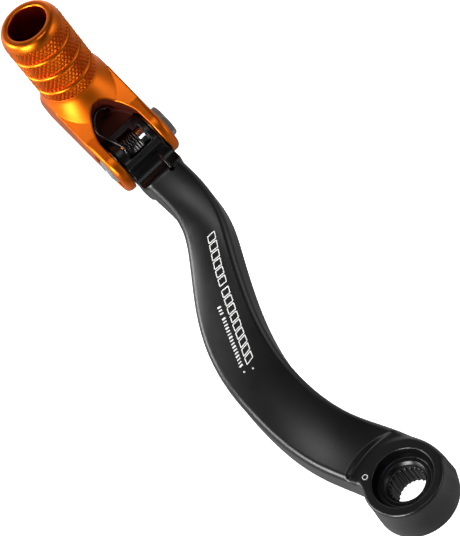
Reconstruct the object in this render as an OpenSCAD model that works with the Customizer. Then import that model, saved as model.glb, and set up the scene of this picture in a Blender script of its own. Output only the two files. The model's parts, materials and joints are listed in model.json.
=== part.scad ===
// Motorcycle gear shift lever with a sprung folding toe peg.
// The lever has a splined boss, a forged S-shaped arm and a machined tip that
// folds back over the arm about a cross screw, against a torsion spring.
// Frame: origin on the spline axis at the inboard face of the boss, +Z outboard
// along the spline axis, +X from the boss towards the tip, Y along the pivot.

/* [Boss] */
// Outer diameter of the splined boss
boss_d = 27; // [25:0.5:30]
// Height of the boss along the spline axis
boss_h = 14; // [12:0.5:16]
// Diameter of the recess for the retaining screw's washer
recess_d = 19.6; // [17:0.2:20]
// Depth of the washer recess
recess_depth = 2.6; // [1.5:0.1:3.5]
// Major diameter of the internal serrations, at the tooth roots
spline_major_d = 12; // [11.6:0.1:13]
// Minor diameter of the internal serrations, at the tooth crests
spline_minor_d = 10.9; // [10.4:0.1:11.2]
// Number of serration teeth
spline_teeth = 24; // [20:2:36]

/* [Arm] */
// Thickness of the arm at its middle
arm_t = 12; // [10:0.5:13]
// Corner radius of the arm's section
arm_r = 2.8; // [2:0.2:3.6]
// Distance from the boss to the fold pivot, along X
pivot_x = 122.5; // [120:0.5:126]
// Height of the fold pivot above the inboard face
pivot_z = 68; // [66:0.5:70]
// Outer radius of the two lugs at the arm's end
lug_r = 7.5; // [7:0.1:7.8]

/* [Tip] */
// Width of the fork across its flats
fork_w = 22.4; // [21:0.2:23.4]
// Gap between the two ears of the fork
fork_gap = 15.6; // [15.5:0.1:16]
// Radius of the ears about the pivot
ear_r = 8.8; // [8.4:0.1:9.2]
// Outer diameter of the knurled peg
peg_d = 20.6; // [19:0.2:22]
// Length of the peg above the hub
peg_l = 28; // [24:0.2:32]
// Diameter of the open bore in the peg
peg_bore_d = 13.2; // [11:0.2:14]
// Depth of the open bore in the peg
peg_bore_depth = 22; // [16:1:23]
// Number of ring grooves between the knurled bands
peg_grooves = 3; // [2:1:4]

/* [Pivot hardware] */
// Diameter of the pivot screw
screw_d = 6; // [5:1:6]
// Outer diameter of the steel sleeve the tip folds on
sleeve_d = 9; // [8.6:0.1:9.2]
// Wire diameter of the torsion spring
wire_d = 0.95; // [0.8:0.05:1]
// Number of coils in the torsion spring
coils = 6; // [5:1:6]

/* [Hidden] */

tilt = 20;                      // rise of the fork above the plane of the boss
pivot_y = -12.8;                // pivot's mid-plane
lug_y = 7.2;                    // outer faces of the lugs from the mid-plane
slot_l = 3.9;                   // left wall of the spring slot between the lugs
slot_r = -4.9;                  // and its right wall
coil_mid = -0.55;               // middle of the coil along the pivot
bush_r = sleeve_d / 2 + 1;      // bush outside radius, a press fit in the lug
flange_t = 0.5;                 // bush flange, beside the lug
cbore_r = 6.9;                  // counterbores of the fork
head_cbore = 2;                 // depth of the counterbore for the screw's head
nut_cbore = 1.3;                // depth of the counterbore for the nut
floor_w = 2.5;                  // floor of the pocket above the pivot line
wall_u = 7.75;                  // back wall the arm's nose rests against
base_u = 27.65;                 // peg's base centre from the pivot, along the fork
base_w = 13.27;                 // and above the pivot line

function cat(a, b, c, d, t) =
    0.5 * (2 * b + (c - a) * t + (2 * a - 5 * b + 4 * c - d) * t * t
           + (3 * b - a - 3 * c + d) * t * t * t);
function unit(v) = v / norm(v);

// Stations of the arm: x, y, z of the centre, then width and thickness
arm_path = [
    [-5, -3, 7.9, 20.6, 11.4],
    [5, -1.3, 8, 21.6, 11.4],
    [15, 1.7, 8.9, 20.9, 11.4],
    [25, 6.1, 12.2, 20.6, 11.6],
    [35, 9, 17, 19.7, arm_t],
    [45, 10, 23, 19.3, arm_t],
    [55, 9, 29.8, 19.4, arm_t],
    [65, 5.4, 36.8, 19.1, arm_t],
    [74, -0.3, 43.2, 17.8, arm_t],
    [82, -6.2, 48.8, 15.6, arm_t + 0.2],
    [90, -11.1, 54, 14.3, arm_t + 0.6],
    [99, -12.9, 58.9, 14, arm_t + 0.9],
    [pivot_x - 14, pivot_y, pivot_z - 14 * tan(tilt), 13.8, 13],
    [pivot_x - 4, pivot_y, pivot_z - 4 * tan(tilt), 13.8, 13]];
arm_n = len(arm_path);
arm_sub = 3;
corner_n = 4;

function arm_at(s) =
    let (i = min(floor(s), arm_n - 2), t = s - i)
    cat(arm_path[max(i - 1, 0)], arm_path[i], arm_path[i + 1],
        arm_path[min(i + 2, arm_n - 1)], t);
function pos(s) = let (p = arm_at(s)) [p[0], p[1], p[2]];
function ring(s) =
    let (p = arm_at(s), c = [p[0], p[1], p[2]],
         d = unit(pos(min(s + 0.05, arm_n - 1)) - pos(max(s - 0.05, 0))),
         side = unit([-d[1], d[0], 0]),
         up = cross(d, side),
         b = p[3] / 2, h = p[4] / 2, r = arm_r)
    [for (q = [0:3], k = [0:corner_n])
        let (a = 90 * q + 90 * k / corner_n,
             cx = (q == 0 || q == 3 ? 1 : -1) * (b - r),
             cy = (q < 2 ? 1 : -1) * (h - r))
        c + side * (cx + r * cos(a)) + up * (cy + r * sin(a))];

ring_m = 4 * (corner_n + 1);
rings = [for (i = [0:arm_n - 2], j = [0:arm_sub - 1]) i + j / arm_sub];
last_s = arm_n - 2 + 1 / arm_sub;
stations = [for (s = rings) if (s <= last_s + 0.001) s];

// The forged bar, swept along its stations with a rounded section
module bar() {
    n = len(stations);
    pts = [for (s = stations) each ring(s)];
    polyhedron(points = pts, faces = concat(
        [[for (k = [0:ring_m - 1]) k]],
        [for (i = [0:n - 2], k = [0:ring_m - 1])
            let (a = i * ring_m + k, b = i * ring_m + (k + 1) % ring_m)
            [a, a + ring_m, b]],
        [for (i = [0:n - 2], k = [0:ring_m - 1])
            let (a = i * ring_m + k, b = i * ring_m + (k + 1) % ring_m)
            [b, a + ring_m, b + ring_m]],
        [[for (k = [ring_m - 1:-1:0]) (n - 1) * ring_m + k]]));
}

// Moves children into the fork's frame: x along the fork, y the pivot, z up
module at_pivot() {
    translate([pivot_x, pivot_y, pivot_z]) rotate([0, -tilt, 0]) children();
}

// Moves children onto the peg's axis, z towards the open end
module at_peg() {
    translate([base_u, 0, base_w]) rotate([0, tilt, 0]) children();
}

module cross_rod(r, y0, y1, fn = 64) {
    translate([0, y0, 0]) rotate([-90, 0, 0]) cylinder(r = r, h = y1 - y0, $fn = fn);
}

// Boss blank with rounded rims
module boss_blank() {
    r = boss_d / 2;
    rotate_extrude($fn = 96) union() {
        polygon([[0, 0], [r - 1.2, 0], [r, 1.2], [r, boss_h - 1], [r - 1, boss_h], [0, boss_h]]);
        translate([r - 1.2, 1.2]) circle(r = 1.2, $fn = 48);
        translate([r - 1, boss_h - 1]) circle(r = 1, $fn = 48);
    }
}

module shift_arm() {
    color([0.09, 0.09, 0.1]) difference() {
        union() {
            // the bar stops flush with the boss face close to the boss
            difference() {
                bar();
                translate([-10.4, -0.2, boss_h]) cylinder(r = 26, h = 20, $fn = 96);
                translate([0, 0, -20]) cylinder(r = 40, h = 20, $fn = 96);
                // the sweep ends square behind the lugs
                at_pivot() translate([-10.5, -20, -20]) cube([40, 40, 40]);
            }
            translate([0, -0.35, 0]) boss_blank();
            at_pivot() difference() {
                union() {
                    cross_rod(lug_r, -lug_y, lug_y, 96);
                    translate([-14, -lug_y, -lug_r]) cube([14, 2 * lug_y, lug_r + 6.2]);
                    // square lower nose, the stop of the unfolded tip
                    translate([0, -lug_y, -lug_r]) cube([lug_r, 2 * lug_y, lug_r]);
                }
                translate([0, slot_r, -20]) cube([20, slot_l - slot_r, 40]);
                cross_rod(7.6, slot_r, slot_l, 96);
            }
        }
        // washer recess with a shallow spot face, then the serrated bore
        translate([0, 0, boss_h - recess_depth]) cylinder(d = recess_d, h = 10, $fn = 96);
        translate([0, 0, -1]) cylinder(d = spline_minor_d, h = 30, $fn = 96);
        translate([0, 0, boss_h - recess_depth - 1]) cylinder(d = spline_major_d, h = 10, $fn = 96);
        for (i = [0:spline_teeth - 1]) rotate([0, 0, 360 * i / spline_teeth])
            translate([0, 0, -1]) linear_extrude(height = boss_h)
                polygon([[spline_minor_d / 2 - 0.4, -0.6], [spline_major_d / 2, -0.12],
                         [spline_major_d / 2, 0.12], [spline_minor_d / 2 - 0.4, 0.6]]);
        at_pivot() {
            cross_rod(bush_r, -20, 20, 96);
            // hole for the spring's arm-side leg
            translate([-15.4, -2.9, 2]) cylinder(d = 1.5, h = 10, $fn = 32);
        }
    }
}

// Turned hub the peg stands on, and the peg itself
module hub() {
    rotate_extrude($fn = 96) polygon([[0, 1], [9.6, 1], [9.6, 0], [9.9, -1.2],
                                              [10.7, -2.5], [11.9, -3.9], [13.2, -5.4], [14.4, -7.1],
                                              [15.3, -9], [15.8, -11.2], [16, -14], [16, -34], [0, -34]]);
}

module peg() {
    r = peg_d / 2;
    difference() {
        rotate_extrude($fn = 96) polygon([[0, -1], [9.4, -1], [r - 0.4, 0.3], [r, 0.8], [r, peg_l - 3.6],
                                          [r - 0.5, peg_l - 3.2], [r - 0.9, peg_l - 1.6],
                                          [r - 1.9, peg_l], [0, peg_l]]);
        for (i = [0:peg_grooves - 1])
            translate([0, 0, peg_l - 8.7 - 7.2 * i]) rotate_extrude($fn = 96)
                translate([r + 0.25, 0]) circle(r = 0.85, $fn = 32);
        translate([0, 0, peg_l - peg_bore_depth]) cylinder(d = peg_bore_d, h = 40, $fn = 96);
        translate([0, 0, peg_l - 0.4]) cylinder(d1 = peg_bore_d, d2 = peg_bore_d + 1.6, h = 0.8, $fn = 96);
    }
}

module toe_tip() {
    color([0.85, 0.42, 0.06]) at_pivot() difference() {
        union() {
            intersection() {
                union() {
                    translate([-0.4, 0, 0]) cross_rod(ear_r, -fork_w / 2, fork_w / 2, 128);
                    translate([0, fork_w / 2, 0]) rotate([90, 0, 0]) linear_extrude(height = fork_w)
                        polygon([[0, -ear_r], [22, -ear_r], [22, 11.4], [8.3, ear_r], [0, ear_r]]);
                    at_peg() hub();
                }
                translate([-12, -fork_w / 2, -ear_r]) cube([60, fork_w, 40]);
            }
            at_peg() peg();
        }
        // slot between the ears, open right through
        translate([-20, -fork_gap / 2, -20]) cube([20 + wall_u, fork_gap, 20 + floor_w + 0.01]);
        translate([-20, -fork_gap / 2, floor_w]) cube([20 + 4, fork_gap, 30]);
        // pocket above the floor, with a round end under the peg
        translate([0, 0, floor_w]) linear_extrude(height = 30) {
            polygon([[-1, -fork_gap / 2], [5.2, -fork_gap / 2], [7.6, -6.9], [10, -5.6],
                     [10, 5.6], [7.6, 6.9], [5.2, fork_gap / 2], [-1, fork_gap / 2]]);
            translate([8.2, 0]) circle(r = 5.8, $fn = 64);
        }
        // room for the lugs' round ends
        cross_rod(lug_r + 0.3, -fork_gap / 2, fork_gap / 2, 128);
        cross_rod(screw_d / 2 + 0.1, -30, 30, 64);
        cross_rod(cbore_r, fork_w / 2 - head_cbore, 30, 96);
        cross_rod(cbore_r, -30, -fork_w / 2 + nut_cbore, 96);
    }
}

// Close-wound coil about the sleeve
module torsion_spring() {
    l = coils * wire_d;
    color([0.12, 0.12, 0.13]) at_pivot() difference() {
        cross_rod(5.9, coil_mid - l / 2, coil_mid + l / 2, 64);
        cross_rod(5.9 - wire_d, -l, l, 64);
    }
}

module pivot_sleeve() {
    color([0.8, 0.8, 0.82]) at_pivot() difference() {
        cross_rod(sleeve_d / 2, -fork_gap / 2, fork_gap / 2, 64);
        cross_rod(screw_d / 2 + 0.05, -20, 20, 64);
    }
}

// Button head screw, with its hex socket
module pivot_screw() {
    y0 = fork_w / 2 - head_cbore;
    color([0.75, 0.75, 0.77]) at_pivot() difference() {
        union() {
            cross_rod(screw_d / 2, -fork_w / 2 - 1.6, y0 + 1, 64);
            translate([0, y0, 0]) rotate([-90, 0, 0]) rotate_extrude($fn = 96)
                polygon([[0, 0], [5.25, 0], [5.25, 0.9], [4.9, 1.9], [4.2, 2.6], [3.2, 3.1],
                         [2.6, 3.2], [0, 3.2]]);
        }
        translate([0, y0 + 1.2, 0]) rotate([-90, 0, 0]) cylinder(d = 4 / cos(30), h = 10, $fn = 6);
    }
}

// Thin hex nut in the far counterbore
module pivot_nut() {
    color([0.78, 0.76, 0.74]) at_pivot() translate([0, -fork_w / 2 + nut_cbore, 0])
        rotate([90, 0, 0]) difference() {
            intersection() {
                cylinder(d = 10 / cos(30), h = 3.2, $fn = 6);
                rotate_extrude($fn = 96) polygon([[0, 0], [5.3, 0], [5.8, 0.35], [5.8, 2.85],
                                                  [5.1, 3.2], [0, 3.2]]);
            }
            translate([0, 0, -1]) cylinder(d = screw_d, h = 10, $fn = 64);
        }
}

module bush(side, inner) {
    at_pivot() mirror([0, side < 0 ? 1 : 0, 0]) difference() {
        union() {
            cross_rod(bush_r, inner + 0.2, lug_y, 64);
            cross_rod(6.4, lug_y, lug_y + flange_t, 64);
        }
        cross_rod(sleeve_d / 2 + 0.04, 0, 20, 64);
    }
}

module flanged_bush_left() { color([0.72, 0.53, 0.28]) bush(1, slot_l); }
module flanged_bush_right() { color([0.72, 0.53, 0.28]) bush(-1, -slot_r); }

shift_arm();
toe_tip();
torsion_spring();
pivot_sleeve();
pivot_screw();
pivot_nut();
flanged_bush_left();
flanged_bush_right();
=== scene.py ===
import json
import math
import bpy
import numpy as np
from mathutils import Matrix, Vector


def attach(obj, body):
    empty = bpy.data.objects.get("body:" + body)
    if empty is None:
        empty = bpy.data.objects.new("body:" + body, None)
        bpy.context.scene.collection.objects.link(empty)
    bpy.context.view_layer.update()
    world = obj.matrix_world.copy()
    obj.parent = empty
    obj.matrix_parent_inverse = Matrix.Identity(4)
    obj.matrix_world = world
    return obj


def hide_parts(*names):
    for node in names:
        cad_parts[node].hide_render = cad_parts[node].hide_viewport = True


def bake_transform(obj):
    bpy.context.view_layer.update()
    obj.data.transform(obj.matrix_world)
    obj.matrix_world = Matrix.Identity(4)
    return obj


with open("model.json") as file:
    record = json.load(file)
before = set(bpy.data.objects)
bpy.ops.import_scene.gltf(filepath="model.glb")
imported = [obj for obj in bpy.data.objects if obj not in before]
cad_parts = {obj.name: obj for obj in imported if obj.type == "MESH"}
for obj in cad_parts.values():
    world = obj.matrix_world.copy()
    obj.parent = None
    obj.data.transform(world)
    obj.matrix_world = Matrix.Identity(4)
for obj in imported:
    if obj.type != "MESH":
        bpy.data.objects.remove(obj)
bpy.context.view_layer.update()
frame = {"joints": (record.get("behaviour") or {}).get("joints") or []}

# ---------------------------------------------------------------- the frame
# Lengths are millimetres until a mesh is made, which takes metres.
JOINT = frame["joints"][0] if frame["joints"] else {}
PX, PY, PZ = 122.5, -12.8, 68.0          # fold pivot
TILT = math.radians(20)
CT, ST = math.cos(TILT), math.sin(TILT)
FORK = np.array([[CT, 0, -ST], [0, 1, 0], [ST, 0, CT]])   # fork to world
PIV = np.array([PX, PY, PZ])
BASE_U, BASE_W = 27.65, 13.27            # foot of the peg in the fork's frame
FW, GAP = 22.4, 15.6                     # fork across its flats, between its ears


def to_fork(p):
    return (p - PIV) @ FORK


def to_world(p):
    return p @ FORK.T + PIV


# ---------------------------------------------------------------- solids by distance
def smin(a, b, r):
    return np.maximum(r, np.minimum(a, b)) - np.hypot(np.maximum(r - a, 0), np.maximum(r - b, 0))


def smax(a, b, r):
    return -smin(-a, -b, r)


def poly_sd(x, y, pts):
    """Signed distance to a closed outline."""
    pts = np.asarray(pts, float)
    d2 = np.full(x.shape, 1e18)
    inside = np.zeros(x.shape, bool)
    for (ax, ay), (bx, by) in zip(pts, np.roll(pts, -1, 0)):
        ex, ey = bx - ax, by - ay
        wx, wy = x - ax, y - ay
        t = np.clip((wx * ex + wy * ey) / (ex * ex + ey * ey), 0, 1)
        d2 = np.minimum(d2, (wx - t * ex) ** 2 + (wy - t * ey) ** 2)
        if ay != by:
            hit = ((ay > y) != (by > y)) & (x < ex * (y - ay) / ey + ax)
            inside ^= hit
    d = np.sqrt(d2)
    return np.where(inside, -d, d)


def skin(f, lo, hi, h, relax=3, block=8):
    """Quads on the surface f = 0: dual vertices, evened out and put back on the surface."""
    lo = np.array(lo, float)
    B = block
    nb = np.ceil((np.array(hi, float) - lo) / (h * B)).astype(int)
    n = nb * B + 1
    ax = [lo[k] + (np.arange(nb[k]) + 0.5) * B * h for k in range(3)]
    C = np.stack(np.meshgrid(*ax, indexing="ij"), -1).reshape(-1, 3)
    d = f(C).reshape(nb)
    V = np.empty(n, np.float32)
    V[:-1, :-1, :-1] = np.repeat(np.repeat(np.repeat(d, B, 0), B, 1), B, 2)
    V[-1], V[:, -1], V[:, :, -1] = 1, 1, 1
    act = np.argwhere(np.abs(d) < B * h * 0.87 * 1.45)
    o = np.arange(B + 1)
    off = np.stack(np.meshgrid(o, o, o, indexing="ij"), -1).reshape(-1, 3)
    for part in np.array_split(act, max(1, len(act) // 150)):
        idx = (part[:, None, :] * B + off[None]).reshape(-1, 3)
        V[idx[:, 0], idx[:, 1], idx[:, 2]] = f(lo + idx * h)
    V[np.abs(V) < 1e-6] = 1e-6
    S = V < 0
    c = np.zeros(np.array(n) - 1, np.uint8)
    for i in (0, 1):
        for j in (0, 1):
            for k in (0, 1):
                c += S[i:n[0] - 1 + i, j:n[1] - 1 + j, k:n[2] - 1 + k]
    mixed = (c > 0) & (c < 8)
    cells = np.argwhere(mixed)
    ids = np.full(mixed.shape, -1, np.int64)
    ids[mixed] = np.arange(len(cells))
    acc, cnt = np.zeros((len(cells), 3)), np.zeros(len(cells))
    corners = [(i, j, k) for i in (0, 1) for j in (0, 1) for k in (0, 1)]
    val = {q: V[cells[:, 0] + q[0], cells[:, 1] + q[1], cells[:, 2] + q[2]].astype(float) for q in corners}
    for q in corners:
        for k in range(3):
            if q[k] == 0:
                e = list(q)
                e[k] = 1
                a, b = val[q], val[tuple(e)]
                m = (a < 0) != (b < 0)
                t = a[m] / (a[m] - b[m])
                pt = np.tile(np.array(q, float), (m.sum(), 1))
                pt[:, k] = t
                acc[m] += pt
                cnt[m] += 1
    P = lo + (cells + acc / cnt[:, None]) * h
    quads = []
    for axis in range(3):
        u, v = (axis + 1) % 3, (axis + 2) % 3
        sl0 = [slice(1, -1)] * 3
        sl1 = [slice(1, -1)] * 3
        sl0[axis], sl1[axis] = slice(0, -1), slice(1, None)
        A, Bv = S[tuple(sl0)], S[tuple(sl1)]
        e = np.argwhere(A != Bv)
        low = A[e[:, 0], e[:, 1], e[:, 2]]
        base = e.copy()
        base[:, u] += 1
        base[:, v] += 1

        def cell(du, dv):
            q = base.copy()
            q[:, u] += du
            q[:, v] += dv
            return ids[q[:, 0], q[:, 1], q[:, 2]]
        quad = np.stack([cell(-1, -1), cell(0, -1), cell(0, 0), cell(-1, 0)], 1)
        quad[~low] = quad[~low][:, ::-1]
        quads.append(quad)
    Q = np.concatenate(quads)

    def grad(p):
        g = np.empty_like(p)
        for k in range(3):
            s = np.zeros(3)
            s[k] = 0.02
            g[:, k] = (f(p + s) - f(p - s)) / 0.04
        return g

    def settle(p, times):
        for _ in range(times):
            g = grad(p)
            step = f(p)[:, None] * g / np.maximum((g * g).sum(1), 0.2)[:, None]
            ln = np.linalg.norm(step, axis=1)
            step *= np.minimum(1, 0.5 * h / np.maximum(ln, 1e-9))[:, None]
            p = p - step
        return p

    P = settle(P, 2)
    nv = len(P)
    a = np.concatenate([Q[:, k] for k in range(4)])
    b = np.concatenate([Q[:, (k + 1) % 4] for k in range(4)])
    i, j = np.concatenate([a, b]), np.concatenate([b, a])
    deg = np.bincount(i, minlength=nv)[:, None]
    for _ in range(relax):
        mean = np.stack([np.bincount(i, P[j, k], nv) for k in range(3)], 1) / deg
        P = settle(P + 0.55 * (mean - P), 1)
    N = grad(P)
    N /= np.maximum(np.linalg.norm(N, axis=1), 1e-9)[:, None]
    return P, Q, N


# ---------------------------------------------------------------- meshes
def put(name, P, faces, body, nodes, mats, normals=None, flat=None, mat_index=None):
    """A mesh object from points in mm. faces is an (n, 4) array or a list of tuples."""
    me = bpy.data.meshes.new(name)
    P = np.asarray(P, float) * 0.001
    me.vertices.add(len(P))
    me.vertices.foreach_set("co", P.ravel())
    if isinstance(faces, np.ndarray):
        n, w = faces.shape
        loops = faces.ravel()
        starts, totals = np.arange(n) * w, np.full(n, w)
    else:
        totals = np.array([len(q) for q in faces])
        starts = np.concatenate([[0], np.cumsum(totals)[:-1]])
        loops = np.concatenate([np.asarray(q) for q in faces])
    me.loops.add(len(loops))
    me.loops.foreach_set("vertex_index", loops.astype(np.int32))
    me.polygons.add(len(totals))
    me.polygons.foreach_set("loop_start", starts.astype(np.int32))
    me.polygons.foreach_set("loop_total", totals.astype(np.int32))
    smooth = np.ones(len(totals), bool)
    if flat is not None:
        smooth[flat] = False
    me.polygons.foreach_set("use_smooth", smooth)
    for m in mats:
        me.materials.append(m)
    if mat_index is not None:
        me.polygons.foreach_set("material_index", np.asarray(mat_index, np.int32))
    me.update(calc_edges=True)
    me.validate()
    if normals is not None:
        me.normals_split_custom_set_from_vertices([tuple(v) for v in normals])
    ob = bpy.data.objects.new(name, me)
    bpy.context.scene.collection.objects.link(ob)
    if body:
        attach(ob, body)
    if nodes:
        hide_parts(*nodes)
    return ob


def auto_smooth(ob, degrees):
    """Edges sharper than this stay crisp."""
    me = ob.data
    me.update()
    fn = np.empty(len(me.polygons) * 3)
    me.polygons.foreach_get("normal", fn)
    fn = fn.reshape(-1, 3)
    sharp = np.zeros(len(me.edges), bool)
    first = {}
    limit = math.cos(math.radians(degrees))
    le = np.empty(len(me.loops), np.int32)
    me.loops.foreach_get("edge_index", le)
    pol = np.repeat(np.arange(len(me.polygons)), [p.loop_total for p in me.polygons])
    order = np.argsort(le, kind="stable")
    e, p = le[order], pol[order]
    same = np.flatnonzero(e[1:] == e[:-1])
    dots = (fn[p[same]] * fn[p[same + 1]]).sum(1)
    sharp[e[same][dots < limit]] = True
    attr = me.attributes.get("sharp_edge") or me.attributes.new("sharp_edge", "BOOLEAN", "EDGE")
    attr.data.foreach_set("value", sharp)
    me.update()


def lathe(profile, segs, place=None):
    """Points and faces of a closed turned solid. profile: (r, z) from the axis round to the axis,
    or a closed ring where no point is on the axis."""
    pr = np.asarray(profile, float)
    th = 2 * math.pi * np.arange(segs) / segs
    closed = pr[0][0] > 1e-6
    P, rings = [], []
    for r, z in pr:
        if r < 1e-6:
            rings.append([len(P)])
            P.append((0, 0, z))
        else:
            rings.append(list(range(len(P), len(P) + segs)))
            P += [(r * math.cos(t), r * math.sin(t), z) for t in th]
    F = []
    m = len(rings)
    for i in range(m if closed else m - 1):
        a, b = rings[i], rings[(i + 1) % m]
        if len(a) == 1 and len(b) == 1:
            continue
        for k in range(segs):
            k2 = (k + 1) % segs
            if len(a) == 1:
                F.append((a[0], b[k2], b[k]))
            elif len(b) == 1:
                F.append((a[k], a[k2], b[0]))
            else:
                F.append((a[k], a[k2], b[k2], b[k]))
    P = np.array(P, float)
    if place is not None:
        P = place(P)
    return P, F


def on_pivot(P, flip=False):
    """A turned piece's own axis (z) laid along the pivot axis, +y, or -y if flipped."""
    if flip:
        Q = np.stack([-P[:, 0], -P[:, 2], P[:, 1] * -1], 1)
        Q = np.stack([P[:, 0], -P[:, 2], P[:, 1]], 1)
    else:
        Q = np.stack([P[:, 0], P[:, 2], -P[:, 1]], 1)
    return to_world(Q)


# ---------------------------------------------------------------- materials
def nodes_of(name):
    m = bpy.data.materials.new(name)
    m.use_nodes = True
    nt = m.node_tree
    return m, nt, nt.nodes, nt.links, nt.nodes["Principled BSDF"]


def add(nt, kind, **kw):
    n = nt.nodes.new(kind)
    for k, v in kw.items():
        if k.startswith("in_"):
            n.inputs[k[3:].replace("_", " ")].default_value = v
        else:
            setattr(n, k, v)
    return n


def ramp(nt, src, stops):
    r = nt.nodes.new("ShaderNodeValToRGB")
    el = r.color_ramp.elements
    while len(el) < len(stops):
        el.new(0.5)
    for e, (pos, col) in zip(el, stops):
        e.position = pos
        e.color = col if len(col) == 4 else (*col, 1)
    nt.links.new(src, r.inputs[0])
    return r


def g(v):
    return (v, v, v)


def anodised_black():
    m, nt, N, L, b = nodes_of("black_anodised_forging")
    co = add(nt, "ShaderNodeTexCoord")
    big = add(nt, "ShaderNodeTexNoise", in_Scale=55.0, in_Detail=4.0, in_Roughness=0.6)
    fine = add(nt, "ShaderNodeTexNoise", in_Scale=4200.0, in_Detail=3.0, in_Roughness=0.6)
    mid = add(nt, "ShaderNodeTexNoise", in_Scale=900.0, in_Detail=3.0)
    for n in (big, fine, mid):
        L.new(co.outputs["Object"], n.inputs["Vector"])
    col = ramp(nt, big.outputs["Fac"], [(0.3, (0.0030, 0.0028, 0.0032)), (0.7, (0.0050, 0.0047, 0.0054))])
    L.new(col.outputs["Color"], b.inputs["Base Color"])
    rg = ramp(nt, big.outputs["Fac"], [(0.25, g(0.30)), (0.75, g(0.36))])
    L.new(rg.outputs["Color"], b.inputs["Roughness"])
    b.inputs["IOR"].default_value = 1.5
    b.inputs["Specular IOR Level"].default_value = 0.6
    b1 = add(nt, "ShaderNodeBump", in_Strength=0.10, in_Distance=0.00003)
    L.new(fine.outputs["Fac"], b1.inputs["Height"])
    b2 = add(nt, "ShaderNodeBump", in_Strength=0.10, in_Distance=0.00006)
    L.new(mid.outputs["Fac"], b2.inputs["Height"])
    L.new(b1.outputs["Normal"], b2.inputs["Normal"])
    L.new(b2.outputs["Normal"], b.inputs["Normal"])
    return m


def milled_black():
    """Cut after forging, so smoother than the blasted skin, with fine cutter lines."""
    m, nt, N, L, b = nodes_of("black_anodised_milled")
    co = add(nt, "ShaderNodeTexCoord")
    mp = add(nt, "ShaderNodeMapping")
    mp.inputs["Scale"].default_value = (1, 0.12, 1)
    L.new(co.outputs["Object"], mp.inputs["Vector"])
    n = add(nt, "ShaderNodeTexNoise", in_Scale=2600.0, in_Detail=3.0)
    L.new(mp.outputs["Vector"], n.inputs["Vector"])
    col = ramp(nt, n.outputs["Fac"], [(0.3, (0.0028, 0.0026, 0.0028)), (0.7, (0.0045, 0.0042, 0.0046))])
    L.new(col.outputs["Color"], b.inputs["Base Color"])
    rg = ramp(nt, n.outputs["Fac"], [(0.3, g(0.26)), (0.7, g(0.34))])
    L.new(rg.outputs["Color"], b.inputs["Roughness"])
    b.inputs["Specular IOR Level"].default_value = 0.25
    bump = add(nt, "ShaderNodeBump", in_Strength=0.05, in_Distance=0.00002)
    L.new(n.outputs["Fac"], bump.inputs["Height"])
    L.new(bump.outputs["Normal"], b.inputs["Normal"])
    return m


def turned_black():
    """The machined recess and bore: fine concentric tool marks under the same black."""
    m, nt, N, L, b = nodes_of("black_anodised_turned")
    co = add(nt, "ShaderNodeTexCoord")
    sep = add(nt, "ShaderNodeSeparateXYZ")
    L.new(co.outputs["Object"], sep.inputs[0])
    x2 = add(nt, "ShaderNodeMath", operation="MULTIPLY")
    L.new(sep.outputs["X"], x2.inputs[0]); L.new(sep.outputs["X"], x2.inputs[1])
    y2 = add(nt, "ShaderNodeMath", operation="MULTIPLY_ADD")
    L.new(sep.outputs["Y"], y2.inputs[0]); L.new(sep.outputs["Y"], y2.inputs[1]); L.new(x2.outputs[0], y2.inputs[2])
    r = add(nt, "ShaderNodeMath", operation="SQRT")
    L.new(y2.outputs[0], r.inputs[0])
    w = add(nt, "ShaderNodeMath", operation="MULTIPLY")
    w.inputs[1].default_value = 2 * math.pi / 0.00022
    L.new(r.outputs[0], w.inputs[0])
    s = add(nt, "ShaderNodeMath", operation="SINE")
    L.new(w.outputs[0], s.inputs[0])
    bump = add(nt, "ShaderNodeBump", in_Strength=0.12, in_Distance=0.00002)
    L.new(s.outputs[0], bump.inputs["Height"])
    L.new(bump.outputs["Normal"], b.inputs["Normal"])
    nz = add(nt, "ShaderNodeTexNoise", in_Scale=300.0, in_Detail=3.0)
    L.new(co.outputs["Object"], nz.inputs["Vector"])
    col = ramp(nt, nz.outputs["Fac"], [(0.3, (0.0030, 0.0030, 0.0036)), (0.7, (0.0052, 0.0052, 0.0064))])
    L.new(col.outputs["Color"], b.inputs["Base Color"])
    rg = ramp(nt, nz.outputs["Fac"], [(0.3, g(0.26)), (0.7, g(0.34))])
    L.new(rg.outputs["Color"], b.inputs["Roughness"])
    b.inputs["Specular IOR Level"].default_value = 0.45
    return m


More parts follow.
